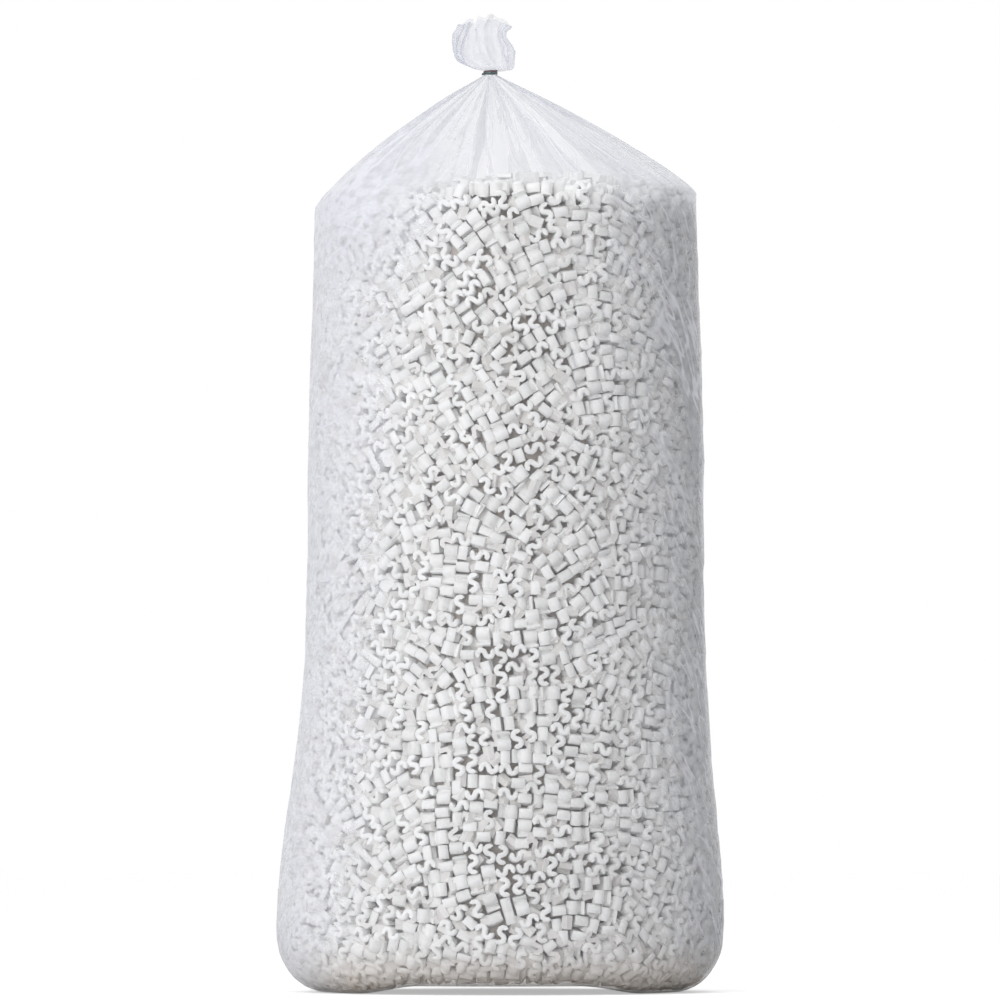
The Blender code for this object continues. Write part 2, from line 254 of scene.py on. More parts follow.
def wrinkle(turn, length, place):
    """How far one point of the film stands out because of the wrinkles in its wall."""
    round_bag = turn * 0.35
    rise = place[2]
    if length < SOLE_END:
        return 0.0
    if length > NECK:
        grown = min(1.0, max(0.0, (length - MOUTH_START) / 0.03))
        crumple = 0.0050 * noise.noise(Vector(place) * 30) + 0.0018 * noise.noise(Vector(place) * 75)
        return grown * (crumple - 0.0024 * ridged(place, (0.022, 0.022, 0.018), 3.0))
    bumps = 0.0007 * noise.noise(Vector((round_bag / 0.03, rise / 0.03, 3.0)))
    dents = 0.0022 * noise.noise(Vector((round_bag / 0.13, rise / 0.11, 9.0)))
    slant = (round_bag + 0.55 * rise, rise - 0.35 * round_bag, 0.0)
    streaks = ridged(slant, (0.016, 0.085, 1.0), 21.0) * 0.0016
    level_streaks = ridged((round_bag, rise, 0.0), (0.11, 0.014, 1.0), 33.0) * 0.0013
    upright_streaks = ridged((round_bag, rise, 0.0), (0.012, 0.16, 1.0), 47.0) * 0.0014
    where = 0.5 + 0.5 * noise.noise(Vector((round_bag / 0.20, rise / 0.25, 5.0)))
    fade = min(1.0, (length - SOLE_END) / 0.05)
    crease = -0.0022 * math.exp(-(((length - SHOULDER - 0.004) / 0.006) ** 2))
    lines = streaks * where + level_streaks * (1 - where) + upright_streaks * 0.6
    return bumps + dents + fade * lines + crease


def ring_lengths():
    """Where the film's rings lie, closest where its folds are finest."""
    stretches = (
        (0.012, SOLE_END, 7), (SOLE_END, HEEL_END, 12), (HEEL_END, SHOULDER - 0.03, 72),
        (SHOULDER - 0.03, SHOULDER + 0.03, 9), (SHOULDER + 0.03, NECK - 0.05, 30),
        (NECK - 0.05, MOUTH_START, 14), (MOUTH_START, MOUTH_END, 30),
    )
    lengths = [np.linspace(low, high, count, endpoint=False) for low, high, count in stretches]
    return np.concatenate(lengths + [[MOUTH_END]])


# Materials


def shader_nodes(name):
    material = bpy.data.materials.new(name)
    material.use_nodes = True
    tree = material.node_tree
    return material, tree, tree.nodes["Principled BSDF"], tree.nodes["Material Output"]


def add_node(tree, kind, inputs=None, **settings):
    node = tree.nodes.new(kind)
    for key, value in settings.items():
        setattr(node, key, value)
    for key, value in (inputs or {}).items():
        if isinstance(value, bpy.types.NodeSocket):
            tree.links.new(value, node.inputs[key])
        else:
            node.inputs[key].default_value = value
    return node


def set_inputs(node, **values):
    for key, value in values.items():
        node.inputs[key.replace("_", " ")].default_value = value


def scaled_noise(tree, scale, detail, stretch=(1, 1, 1), turn=(0, 0, 0)):
    """Noise in the object's own coordinates, stretched and turned."""
    coordinates = add_node(tree, "ShaderNodeTexCoord")
    mapping = add_node(tree, "ShaderNodeMapping",
                       {"Vector": coordinates.outputs["Object"], "Scale": stretch, "Rotation": turn})
    noise_node = add_node(tree, "ShaderNodeTexNoise",
                          {"Vector": mapping.outputs[0], "Scale": scale, "Detail": detail})
    return noise_node.outputs["Fac"]


def map_range(tree, value, low, high, to_low, to_high):
    node = add_node(tree, "ShaderNodeMapRange",
                    {"Value": value, "From Min": low, "From Max": high, "To Min": to_low, "To Max": to_high})
    return node.outputs["Result"]


def math_node(tree, operation, first, second):
    return add_node(tree, "ShaderNodeMath", {0: first, 1: second}, operation=operation).outputs[0]


def plus(tree, first, *others):
    for other in others:
        first = math_node(tree, "ADD", first, other)
    return first


def times(tree, first, *others):
    for other in others:
        first = math_node(tree, "MULTIPLY", first, other)
    return first


def foam_material(name, low, high):
    """Foam whose tone differs from peanut to peanut, with the fine cells of its skin."""
    material, tree, shader, _ = shader_nodes(name)
    tone = add_node(tree, "ShaderNodeAttribute", attribute_name="tone").outputs["Fac"]
    mixed = plus(tree, tone, times(tree, scaled_noise(tree, 70, 3), 0.9))
    ramp = add_node(tree, "ShaderNodeValToRGB", {"Fac": mixed})
    ramp.color_ramp.elements[0].color = (*low, 1)
    ramp.color_ramp.elements[0].position = 0.05
    ramp.color_ramp.elements[1].color = (*high, 1)
    ramp.color_ramp.elements[1].position = 0.65
    tree.links.new(ramp.outputs["Color"], shader.inputs["Base Color"])
    coordinates = add_node(tree, "ShaderNodeTexCoord")
    cells = add_node(tree, "ShaderNodeTexVoronoi", {"Vector": coordinates.outputs["Object"], "Scale": 420.0})
    bump = add_node(tree, "ShaderNodeBump",
                    {"Height": cells.outputs["Distance"], "Strength": 0.2, "Distance": 0.0005})
    tree.links.new(bump.outputs["Normal"], shader.inputs["Normal"])
    set_inputs(shader, Roughness=0.7, IOR=1.35)
    return material


def fold_lines_group():
    """Thin lines, as creases in film make them: where a stretched noise crosses its middle value."""
    group = bpy.data.node_groups.new("fold_lines", "ShaderNodeTree")
    for name, kind, value in (
        ("Place", "NodeSocketVector", (0, 0, 0)), ("Scale", "NodeSocketFloat", 10.0),
        ("Stretch", "NodeSocketVector", (1, 1, 1)), ("Turn", "NodeSocketVector", (0, 0, 0)),
        ("Width", "NodeSocketFloat", 0.03),
    ):
        group.interface.new_socket(name, in_out="INPUT", socket_type=kind).default_value = value
    group.interface.new_socket("Mask", in_out="OUTPUT", socket_type="NodeSocketFloat")
    given = add_node(group, "NodeGroupInput")
    made = add_node(group, "NodeGroupOutput")
    mapping = add_node(group, "ShaderNodeMapping",
                       {"Vector": given.outputs["Place"], "Rotation": given.outputs["Turn"]})
    stretched = add_node(group, "ShaderNodeVectorMath", {0: mapping.outputs[0], 1: given.outputs["Stretch"]},
                         operation="MULTIPLY")
    lines = add_node(group, "ShaderNodeTexNoise",
                     {"Vector": stretched.outputs[0], "Scale": given.outputs["Scale"], "Detail": 1.5,
                      "Roughness": 0.45})
    apart = math_node(group, "ABSOLUTE", math_node(group, "SUBTRACT", lines.outputs["Fac"], 0.5), 0.0)
    mask = add_node(group, "ShaderNodeMapRange",
                    {"Value": apart, "From Min": 0.0, "From Max": given.outputs["Width"],
                     "To Min": 1.0, "To Max": 0.0},
                    interpolation_type="SMOOTHSTEP")
    group.links.new(mask.outputs["Result"], made.inputs["Mask"])
    return group


def fold_lines(tree, group, place, scale, stretch, turn, width):
    made = add_node(tree, "ShaderNodeGroup", {"Place": place}, node_tree=group)
    for key, value in (("Scale", scale), ("Stretch", stretch), ("Turn", turn), ("Width", width)):
        made.inputs[key].default_value = value
    return made.outputs["Mask"]


def vector_math(tree, operation, *vectors):
    return add_node(tree, "ShaderNodeVectorMath", dict(enumerate(vectors)), operation=operation).outputs[0]


def radiating_place(tree, place):
    """Coordinates that stay alike along each straight line down from the gathered neck."""
    across = vector_math(tree, "SUBTRACT", place, (NECK_OFFSET, 0, 0))
    spoke = vector_math(tree, "NORMALIZE", vector_math(tree, "MULTIPLY", across, (1, 1, 0)))
    return vector_math(tree, "ADD", spoke, vector_math(tree, "MULTIPLY", place, (0, 0, 0.9)))


def film_material():
    """Clear film that turns milky where it stands off the peanuts, at its sides and along its creases. Its
    pale left side is partly that haze and partly painted reflection of the light; its grey right side, its
    brownish foot and its darker bunched mouth are painted shade; its pale crease lines are painted
    highlights.
    """
    material, tree, shader, _ = shader_nodes("clear_film")
    set_inputs(shader, Metallic=0.06, Roughness=0.26, IOR=1.45)
    group = fold_lines_group()
    place = add_node(tree, "ShaderNodeTexCoord").outputs["Object"]
    parts = add_node(tree, "ShaderNodeSeparateXYZ", {0: place})
    x, z = parts.outputs["X"], parts.outputs["Z"]
    gathered = math_node(tree, "MINIMUM", map_range(tree, z, 1.385, 1.45, 0.0, 1.0),
                         map_range(tree, z, 1.625, 1.650, 1.0, 0.1))
    bunched = map_range(tree, z, 1.628, 1.650, 0.0, 1.0)
    on_wall = map_range(tree, z, 1.40, 1.36, 0.0, 1.0)

    # Creases, swells and fine crinkles, which raise the surface
    slanted = fold_lines(tree, group, place, 24.0, (0.35, 0.35, 1.3), (0.70, -0.55, 0.0), 0.045)
    spokes = radiating_place(tree, place)
    pleats = fold_lines(tree, group, spokes, 6.0, (1, 1, 1), (0, 0, 0), 0.05)
    broad = add_node(tree, "ShaderNodeTexNoise", {"Vector": spokes, "Scale": 9.0, "Detail": 1.5})
    crinkle = scaled_noise(tree, 55, 3, (0.8, 0.8, 1.1), (0.5, -0.4, 0.0))
    patches = map_range(tree, scaled_noise(tree, 5.5, 2, (1, 1, 0.7)), 0.36, 0.64, 0.0, 1.0)
    creases = plus(tree, times(tree, slanted, on_wall), times(tree, pleats, gathered))
    swell = times(tree, broad.outputs["Fac"], times(tree, gathered, 3.2))
    fine = times(tree, crinkle, map_range(tree, z, 1.40, 1.46, 1.0, 0.08))
    height = plus(tree, times(tree, creases, 0.5), fine, swell)
    bump = add_node(tree, "ShaderNodeBump", {"Height": height, "Strength": 0.5, "Distance": 0.0024})
    tree.links.new(bump.outputs["Normal"], shader.inputs["Normal"])

    # The left and right sides, which lie further out towards the wide foot, and the foot itself, painted a
    # brownish shade where the film curves under the bag
    narrowing = map_range(tree, z, 0.0, 1.4, 0.13, 0.0)
    left = map_range(tree, plus(tree, x, narrowing), -0.11, -0.27, 0.0, 1.0)
    right = map_range(tree, math_node(tree, "SUBTRACT", x, narrowing), 0.16, 0.30, 0.0, 1.0)
    low = times(tree, map_range(tree, z, 0.095, 0.01, 0.0, 1.0), map_range(tree, x, -0.25, -0.35, 1.0, 0.15))

    # Painted shade: the film's foot turns brownish towards the floor, less so at the far left
    tint = add_node(tree, "ShaderNodeValToRGB", {"Fac": low})
    tint.color_ramp.elements[0].color = (0.79, 0.80, 0.86, 1)
    tint.color_ramp.elements[1].color = (0.55, 0.43, 0.32, 1)
    # Painted shade: the right side of the wall, away from the light, is painted a darker grey, except along
    # its creases, which keep the paler film colour as painted highlights
    uncreased = times(tree, right, math_node(tree, "SUBTRACT", on_wall, creases))
    right_painted_shade = add_node(tree, "ShaderNodeMix",
                      {0: uncreased, 6: tint.outputs["Color"], 7: (0.53, 0.545, 0.59, 1)}, data_type="RGBA")
    # Painted shade: the bunched mouth is painted a darker blue-grey than the rest of the film
    colour = add_node(tree, "ShaderNodeMix",
                      {0: bunched, 6: right_painted_shade.outputs[2], 7: (0.61, 0.625, 0.72, 1)}, data_type="RGBA")
    tree.links.new(colour.outputs[2], shader.inputs["Base Color"])

    # How milky the film is, and how far its gloss and its creases cover what lies behind, with painted
    # reflection in the left side's milk and painted highlights along the creases
    headspace = map_range(tree, z, 1.39, 1.46, 0.0, 0.12)
    high = times(tree, map_range(tree, z, 1.22, 1.36, 0.0, 0.27), map_range(tree, x, -0.04, -0.18, 0.0, 1.0))
    grain = map_range(tree, crinkle, 0.34, 0.66, 0.55, 1.45)
    cloudy = map_range(tree, patches, 0.0, 1.0, 0.14, 0.32)
    # The milky left side is partly haze of film standing off the peanuts and partly painted reflection of the
    # light from the left
    sides = plus(tree, times(tree, left, 0.32), times(tree, right, cloudy))
    below_cone = map_range(tree, z, 1.40, 1.46, 1.0, 0.25)
    veil = times(tree, plus(tree, times(tree, sides, below_cone), high), grain)
    milk = plus(tree, veil, headspace, times(tree, low, 0.17))
    facing = add_node(tree, "ShaderNodeLayerWeight", {"Blend": 0.75, "Normal": bump.outputs["Normal"]})
    gloss = times(tree, facing.outputs["Facing"], map_range(tree, low, 0.0, 1.0, 1.0, 0.45),
                  map_range(tree, gathered, 0.0, 1.0, 0.27, 0.13))
    # Painted highlights: pale lines along the creases, on the cone and in patches at the sides, as light
    # glinting off folds in the film
    streaked = plus(tree, left, times(tree, right, 2.2))
    painted_crease_highlight = plus(tree, times(tree, gathered, 0.22), times(tree, streaked, times(tree, patches, 0.30)))
    lines = times(tree, creases, plus(tree, painted_crease_highlight, 0.03))
    share = plus(tree, milk, 0.07, plus(tree, gloss, lines))
    held = add_node(tree, "ShaderNodeClamp", {"Value": share, "Min": 0.0, "Max": 0.92}).outputs[0]
    tree.links.new(held, shader.inputs["Alpha"])
    return material


def film_inside_material():
    """The film's inner face, which adds only a faint gloss to what its outer face shows."""
    material, tree, shader, _ = shader_nodes("clear_film_inside")
    set_inputs(shader, Base_Color=(0.90, 0.92, 0.97, 1), Roughness=0.2, IOR=1.5)
    edge = add_node(tree, "ShaderNodeFresnel", {"IOR": 1.25})
    tree.links.new(times(tree, edge.outputs[0], 0.35), shader.inputs["Alpha"])
    return material


def tie_material():
    material, tree, shader, _ = shader_nodes("tie_strip")
    place = add_node(tree, "ShaderNodeTexCoord").outputs["Object"]
    rise = add_node(tree, "ShaderNodeSeparateXYZ", {0: place}).outputs["Z"]
    share = map_range(tree, rise, NECK_HEIGHT + 0.0038, NECK_HEIGHT + 0.0048, 0.0, 1.0)
    ramp = add_node(tree, "ShaderNodeValToRGB", {"Fac": share})
    ramp.color_ramp.elements[0].color = (0.060, 0.105, 0.100, 1)
    ramp.color_ramp.elements[1].color = (0.125, 0.085, 0.090, 1)
    tree.links.new(ramp.outputs["Color"], shader.inputs["Base Color"])
    bump = add_node(tree, "ShaderNodeBump",
                    {"Height": scaled_noise(tree, 900, 3), "Strength": 0.4, "Distance": 0.0003})
    tree.links.new(bump.outputs["Normal"], shader.inputs["Normal"])
    set_inputs(shader, Roughness=0.42)
    return material


# Pieces


def keep_piece(name, mesh, materials, slot, *nodes):
    """Makes a piece of the object from a mesh, in place of the nodes named."""
    for material in materials:
        mesh.materials.append(material)
    piece = bpy.data.objects.new(name, mesh)
    bpy.context.scene.collection.objects.link(piece)
    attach(piece, "root")
    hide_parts(*nodes)
    return piece


def finished_mesh(name, skin):
    mesh = bpy.data.meshes.new(name)
    skin.to_mesh(mesh)
    skin.free()
    return mesh


def make_film(outside, inside):
    """A grid of film rolled into a tube, closed at the middle of its sole and open at its mouth."""
    lengths = ring_lengths()
    skin = bmesh.new()
    bmesh.ops.create_grid(skin, x_segments=FILM_POINTS_AROUND, y_segments=len(lengths) - 1, size=0.5)
    flat = np.array([vertex.co for vertex in skin.verts])
    turn = TURN * (flat[:, 0] + 0.5)
    length = lengths[np.rint((flat[:, 1] + 0.5) * (len(lengths) - 1)).astype(int)]
    plain = film_place(turn, length)
    around = np.where(turn > math.pi, turn - TURN, turn)
    out = []
    for side, rise, place in zip(around, length, plain):
        near = wrinkle(side, rise, place)
        join = max(0.0, 1 - (math.pi - abs(side)) / 0.25)
        if join > 0:
            near = near * (1 - join / 2) + wrinkle(side - math.copysign(TURN, side), rise, place) * join / 2
        out.append(near)
    for vertex, place in zip(skin.verts, film_place(turn, length, np.array(out))):
        vertex.co = place
    bmesh.ops.remove_doubles(skin, verts=skin.verts, dist=1e-6)
    bottom = [edge for edge in skin.edges if edge.is_boundary and edge.verts[0].co.z < 0.1]
    middle = bmesh.ops.contextual_create(skin, geom=bottom)["faces"]
    bmesh.ops.poke(skin, faces=middle)
    bmesh.ops.recalc_face_normals(skin, faces=skin.faces)
    mesh = finished_mesh("film_sheet", skin)
    mesh.shade_smooth()
    piece = keep_piece("film_sheet", mesh, (outside, inside), "film", "bag_film")
    wall = piece.modifiers.new("wall", "SOLIDIFY")
    wall.thickness = FILM_THICKNESS
    wall.offset = -1
    wall.material_offset = 1
    piece.visible_shadow = False
    return piece


def strand_section(bevelled):
    """The upright section of a peanut's strand, a face that looks along Y, with the corners named cut off."""
    skin = bmesh.new()
    bmesh.ops.create_grid(skin, x_segments=1, y_segments=1, size=0.5)
    turned = Matrix.Rotation(math.radians(90), 4, "X")
    bmesh.ops.transform(skin, matrix=Matrix.Diagonal((STRAND, 1, PEANUT_DEPTH, 1)) @ turned, verts=skin.verts)
    corners = [vertex for vertex in skin.verts if (vertex.co.z > 0 and "top" in bevelled)
               or (vertex.co.z < 0 and "bottom" in bevelled)]
    if corners:
        bmesh.ops.bevel(skin, geom=corners, offset=PEANUT_CHAMFER, offset_type="OFFSET", affect="VERTICES",
                        segments=1, profile=0.5, material=-1)
    return skin


def tail_reach(face, way):
    """How far a face's middle lies from the end of the bend on its side: the two tail ends are nearest."""
    middle = face.calc_center_median()
    side = 1 if middle.x > 0 else -1
    swept = way * math.radians(SWEEP_DEG)
    end = Vector((side * BEND_RADIUS * (1 - math.cos(swept)), -side * BEND_RADIUS * math.sin(swept), 0))
    return (middle - end).length


def peanut_mesh(name, steps, bevelled, way):
    """One S-shaped peanut: the strand's section spun round two bends, from a thick middle to thin tails."""
    skin = strand_section(bevelled)
    for side in (-1, 1):
        before = set(skin.verts)
        section = min(skin.faces, key=lambda face: face.calc_center_median().length)
        bmesh.ops.spin(skin, geom=[section, *section.edges, *section.verts], cent=(side * BEND_RADIUS, 0, 0),
                       axis=(0, 0, 1), angle=way * math.radians(SWEEP_DEG), steps=steps)
        for vertex in set(skin.verts) - before:
            centre = Vector((side * BEND_RADIUS, 0, vertex.co.z))
            spoke = vertex.co - centre
            swept = way * math.atan2(-side * spoke.y, -side * spoke.x) % TURN / math.radians(SWEEP_DEG)
            share = blend(1.0, TAIL_SHARE, swept**1.6)
            vertex.co = centre + spoke.normalized() * (BEND_RADIUS + (spoke.length - BEND_RADIUS) * share)
    if bevelled:
        tails = sorted(skin.faces, key=lambda face: tail_reach(face, way))[:2]
        corners = [edge for face in tails for edge in face.edges if edge.calc_length() > PEANUT_DEPTH / 2]
        bmesh.ops.bevel(skin, geom=corners, offset=TAIL_ROUNDING, offset_type="OFFSET", affect="EDGES",
                        segments=1, profile=0.5, material=-1)
    bmesh.ops.recalc_face_normals(skin, faces=skin.faces)
    return finished_mesh(name, skin)


# Settling peanuts side by side

KINDS = ("face", "side", "end")
HALF_LONG = 2 * BEND_RADIUS + STRAND / 2
HALF_HIGH = BEND_RADIUS + STRAND / 2
REACH = {
    "face": (HALF_LONG, HALF_HIGH, PEANUT_DEPTH / 2),
    "side": (HALF_LONG, PEANUT_DEPTH / 2, HALF_HIGH),
    "end": (PEANUT_DEPTH / 2, HALF_HIGH, HALF_LONG),
}


def near_pairs(points, reach):
    tree = kdtree.KDTree(len(points))
    for i, point in enumerate(points):
        tree.insert(point, i)
    tree.balance()
    first, second = [], []
    for i, point in enumerate(points):
        for _, j, _ in tree.find_range(point, reach):
            if j > i:
                first.append(i)
                second.append(j)
    return np.array(first, int), np.array(second, int)


def pair_overlap(offset, angle_a, angle_b, half_a, half_b):
    """How far two turned rectangles overlap, and the direction that parts them soonest."""
    axes = []
    for angle in (angle_a, angle_b):
        axes += [(np.cos(angle), np.sin(angle)), (-np.sin(angle), np.cos(angle))]
    depths, signs = [], []
    for axis in axes:
        reach = 0
        for angle, half in ((angle_a, half_a), (angle_b, half_b)):
            reach = reach + np.abs(axis[0] * np.cos(angle) + axis[1] * np.sin(angle)) * half[:, 0]
            reach = reach + np.abs(-axis[0] * np.sin(angle) + axis[1] * np.cos(angle)) * half[:, 1]
        apart = offset[:, 0] * axis[0] + offset[:, 1] * axis[1]
        depths.append(reach - np.abs(apart))
        signs.append(np.where(apart < 0, -1.0, 1.0))
    depths = np.array(depths)
    best = depths.argmin(axis=0)
    rows = np.arange(len(best))
    direction = np.array(axes).transpose(2, 0, 1)[rows, best] * np.array(signs)[best, rows][:, None]
    return depths[best, rows], direction


def settle(spot, angle, half, solid_points, level_scale, wrap, keep_in, rounds):
    """Pushes overlapping peanuts apart over a flat or unrolled surface, as they grow to full size."""
    count = len(spot)
    for step in range(rounds):
        if step % RECOUNT_EVERY == 0:
            first, second = near_pairs(solid_points(spot), NEIGHBOUR_REACH)
        size = min(1.0, 0.70 + 0.30 * step / (rounds * 0.55))
        offset = spot[second] - spot[first]
        if wrap:
            offset[:, 0] -= TURN * np.round(offset[:, 0] / TURN)
        scale = level_scale(spot)
        offset[:, 0] *= (scale[first] + scale[second]) / 2
        depth, direction = pair_overlap(offset, angle[first], angle[second],
                                        half[first] * size, half[second] * size)
        push = np.clip(depth, 0, 0.006)[:, None] * direction * 0.40
        for axis in (0, 1):
            moved = np.bincount(second, push[:, axis], count) - np.bincount(first, push[:, axis], count)
            spot[:, axis] += moved / (scale if axis == 0 else 1)
        lean = np.sin(4 * (angle[second] - angle[first])) * np.clip(depth, 0, 0.004) * 12
        angle += np.bincount(first, lean, count) - np.bincount(second, lean, count)
        keep_in(spot)
    return first, second, depth


def sunk_peanuts(first, second, depth, count):
    """How far each peanut lies back, so that those still crossing another slip behind it."""
    sunk = np.zeros(count)
    for i, j, crossing in zip(first, second, depth):
        if crossing > MOST_CROSSING:
            low, high = (i, j) if sunk[i] > sunk[j] else (j, i)
            sunk[low] = max(sunk[low], sunk[high] * 0.3 + min(0.012, crossing * 2.4))
    return sunk


def kind_turn(kind):
    """The turn that lays a peanut's own axes along a wall's level, rising and outward directions."""
    if kind == "face":
        return Matrix.Identity(3)
    if kind == "side":
        return Matrix(((1, 0, 0), (0, 0, 1), (0, -1, 0)))
    return Matrix(((0, 0, 1), (0, 1, 0), (-1, 0, 0)))


def peanut_matrices(place, level, rising, out, angle, kinds, inset, tilt, random):
    """Where each peanut goes: flat against the wall, turned by its angle and a little askew."""
    matrices = []
    for i, kind in enumerate(kinds):
        wall = Matrix((level[i], rising[i], out[i])).transposed()
        askew = Matrix.Rotation(random.normal(0, tilt), 3, "X")
        askew @= Matrix.Rotation(random.normal(0, tilt), 3, "Y")
        half_turn = Matrix.Rotation(math.pi * random.integers(2), 3, "Z")
        turned = wall @ askew @ Matrix.Rotation(angle[i], 3, "Z") @ half_turn @ kind_turn(kind)
        centre = Vector(place[i]) - Vector(out[i]) * (REACH[kind][2] + inset[i])
        matrices.append(Matrix.Translation(centre) @ turned.to_4x4())
    return matrices


def pile_peanuts(name, placed, material, random):
    """Joins copies of peanuts, given as pairs of a mesh and a matrix, into one piece."""
    pile = bmesh.new()
    tones = []
    for template, matrix in placed:
        copy = template.copy()
        copy.transform(matrix)
        pile.from_mesh(copy)
        tones += [random.uniform(-0.35, 0.45)] * len(copy.vertices)
        bpy.data.meshes.remove(copy)
    mesh = finished_mesh(name, pile)
    mesh.shade_smooth()
    mesh.set_sharp_from_angle(angle=math.radians(52))
    mesh.attributes.new("tone", "FLOAT", "POINT").data.foreach_set("value", np.array(tones, np.float32))
    return keep_piece(name, mesh, (material,), "foam", "peanut_fill")


def spread_on_wall(depth, area, low, high, random):
    """Starting places in rows all round the bag, each jolted a little: turns and lengths along the film."""
    row_step = math.sqrt(area)
    spots = []
    for length in np.arange(low, high, row_step):
        around = TURN * (np.interp(length, LENGTHS, (OUTLINE[3] + OUTLINE[4]) / 2) - depth)
        count = max(3, round(around / row_step))
        turn = (np.arange(count) + random.uniform()) * TURN / count
        jolt = random.uniform(-0.42, 0.42, (count, 2)) * (TURN / count, row_step)
        spots.append(np.stack([turn, np.full(count, length + row_step / 2)], axis=1) + jolt)
    return np.concatenate(spots)


def wall_peanuts(depth, random, low, high, tilt, shares):
    """Peanuts packed side by side, depth metres behind the film, and the bare places left between them."""
    spot = spread_on_wall(depth, PEANUT_AREA, low, high, random)
    count = len(spot)
    angle = random.uniform(0, TURN, count)
    kinds = random.choice(KINDS, count, p=shares)
    half = np.array([REACH[kind][:2] for kind in kinds]) * np.where(kinds == "face", 0.95, 1.00)[:, None]

    def level_scale(spot):
        return np.interp(spot[:, 1], LENGTHS, (OUTLINE[3] + OUTLINE[4]) / 2) - depth

    def solid_points(spot):
        across = level_scale(spot)
        return np.stack([across * np.cos(spot[:, 0]), across * np.sin(spot[:, 0]), spot[:, 1]], axis=1)

    def keep_in(spot):
        spot[:, 1] = np.clip(spot[:, 1], low, high)

    first, second, overlap = settle(spot, angle, half, solid_points, level_scale, True, keep_in,
                                    SETTLING_ROUNDS)
    sunk = sunk_peanuts(first, second, overlap, count)
    place, level, rising, out = film_frames(spot[:, 0], spot[:, 1])
    inset = depth + sunk + random.uniform(0, 0.0015, count)
    matrices = peanut_matrices(place, level, rising, out, angle, kinds, inset, tilt, random)
    gaps, room = open_places(spot, angle, half, level_scale, low, high)
    order = np.argsort(spot[:, 1])
    return [(kinds[i], matrices[i]) for i in order], gaps, room


def open_places(spot, angle, half, level_scale, low, high):
    """Where the wall between the peanuts is bare, widest places first, and how far each is from a peanut."""
    scale = level_scale(spot)
    tree = kdtree.KDTree(len(spot))
    for i, (turn, length) in enumerate(spot):
        tree.insert((scale[i] * math.cos(turn), scale[i] * math.sin(turn), length), i)
    tree.balance()
    cosine, sine = np.cos(angle), np.sin(angle)
    found = []
    for length in np.arange(low, high, GAP_STEP):
        across = float(level_scale(np.array([[0.0, length]]))[0])
        for turn in np.arange(0, TURN, GAP_STEP / across):
            room = 0.02
            for _, i, _ in tree.find_range((across * math.cos(turn), across * math.sin(turn), length), 0.024):
                sideways = ((turn - spot[i, 0] + math.pi) % TURN - math.pi) * across
                rise = length - spot[i, 1]
                along = abs(sideways * cosine[i] + rise * sine[i]) - half[i, 0]
                over = abs(rise * cosine[i] - sideways * sine[i]) - half[i, 1]
                room = min(room, max(along, over))
                if room < 0:
                    break
            if room > GAP_LEAST_ROOM:
                found.append((room, turn, length))
    found.sort(reverse=True)
    taken = kdtree.KDTree(len(found))
    kept = []
    for i, (room, turn, length) in enumerate(found):
        across = float(level_scale(np.array([[turn, length]]))[0])
        point = Vector((across * math.cos(turn), across * math.sin(turn), length))
        kept.append((point, room, turn, length))
        taken.insert(point, i)
    taken.balance()
    free = np.ones(len(kept), bool)
    chosen = []
    for i, (point, room, turn, length) in enumerate(kept):
        if free[i]:
            chosen.append((room, turn, length))
            for _, j, _ in taken.find_range(point, GAP_SPACING):
                free[j] = False
    chosen = np.array(chosen)
    return chosen[:, 1:], chosen[:, 0]


def gap_peanuts(gaps, room, random):
    """Peanuts set back behind the bare places, less far where there is more room."""
    count = len(gaps)
    place, level, rising, out = film_frames(gaps[:, 0], gaps[:, 1])
    kinds = random.choice(KINDS, count, p=(0.3, 0.3, 0.4))
    inset = 0.0045 + np.clip(0.0080 - room * 1.5, 0.0, 0.008) + random.uniform(0, 0.003, count)
    angle = random.uniform(0, TURN, count)
    matrices = peanut_matrices(place, level, rising, out, angle, kinds, inset, 0.3, random)
    return list(zip(kinds, matrices))


def heap_peanuts(fill, area, random):
    """Peanuts laid over the top of the settled fill, under the empty gathered part of the bag."""
    surface = BVHTree.FromPolygons([vertex.co for vertex in fill.data.vertices],
                                   [tuple(face.vertices) for face in fill.data.polygons])
    step = math.sqrt(area)
    across, along = SHOULDER_WIDTH / 2 - 0.030, SHOULDER_DEPTH / 2 - 0.030
    grid = np.arange(-0.33, 0.33, step)
    spot = np.array([(x, y) for x in grid for y in grid if (x / across) ** 2 + (y / along) ** 2 < 1])
    spot += random.uniform(-0.4, 0.4, spot.shape) * step
    count = len(spot)
    angle = random.uniform(0, TURN, count)
    kinds = random.choice(KINDS, count, p=(0.42, 0.43, 0.15))
    half = np.array([REACH[kind][:2] for kind in kinds])

    def solid_points(spot):
        return np.column_stack([spot, np.zeros(count)])

    def keep_in(spot):
        reach = np.hypot(spot[:, 0] / across, spot[:, 1] / along)
        spot /= np.maximum(reach, 1)[:, None]

    settle(spot, angle, half, solid_points, lambda spot: np.ones(len(spot)), False, keep_in, HEAP_ROUNDS)
    place, level, rising, out = [], [], [], []
    for x, y in spot:
        hit, normal, _, _ = surface.ray_cast(Vector((x + SHOULDER_OFFSET, y, 2.0)), Vector((0, 0, -1)))
        hit.z += 0.014 * noise.noise(Vector((x, y, 0.0)) * 9) + 0.010 * math.exp(-((x - 0.04) / 0.14) ** 2)
        normal = (normal * 0.35 + Vector((0, 0, 1))).normalized()
        sideways = Vector((1, 0, 0)).cross(normal).normalized()
        place.append(hit)
        level.append(sideways.cross(normal) * -1)
        rising.append(sideways * -1)
        out.append(normal)
    inset = random.uniform(-0.001, 0.004, count)
    matrices = peanut_matrices(place, level, rising, out, angle, kinds, inset, 0.22, random)
    return list(zip(kinds, matrices))


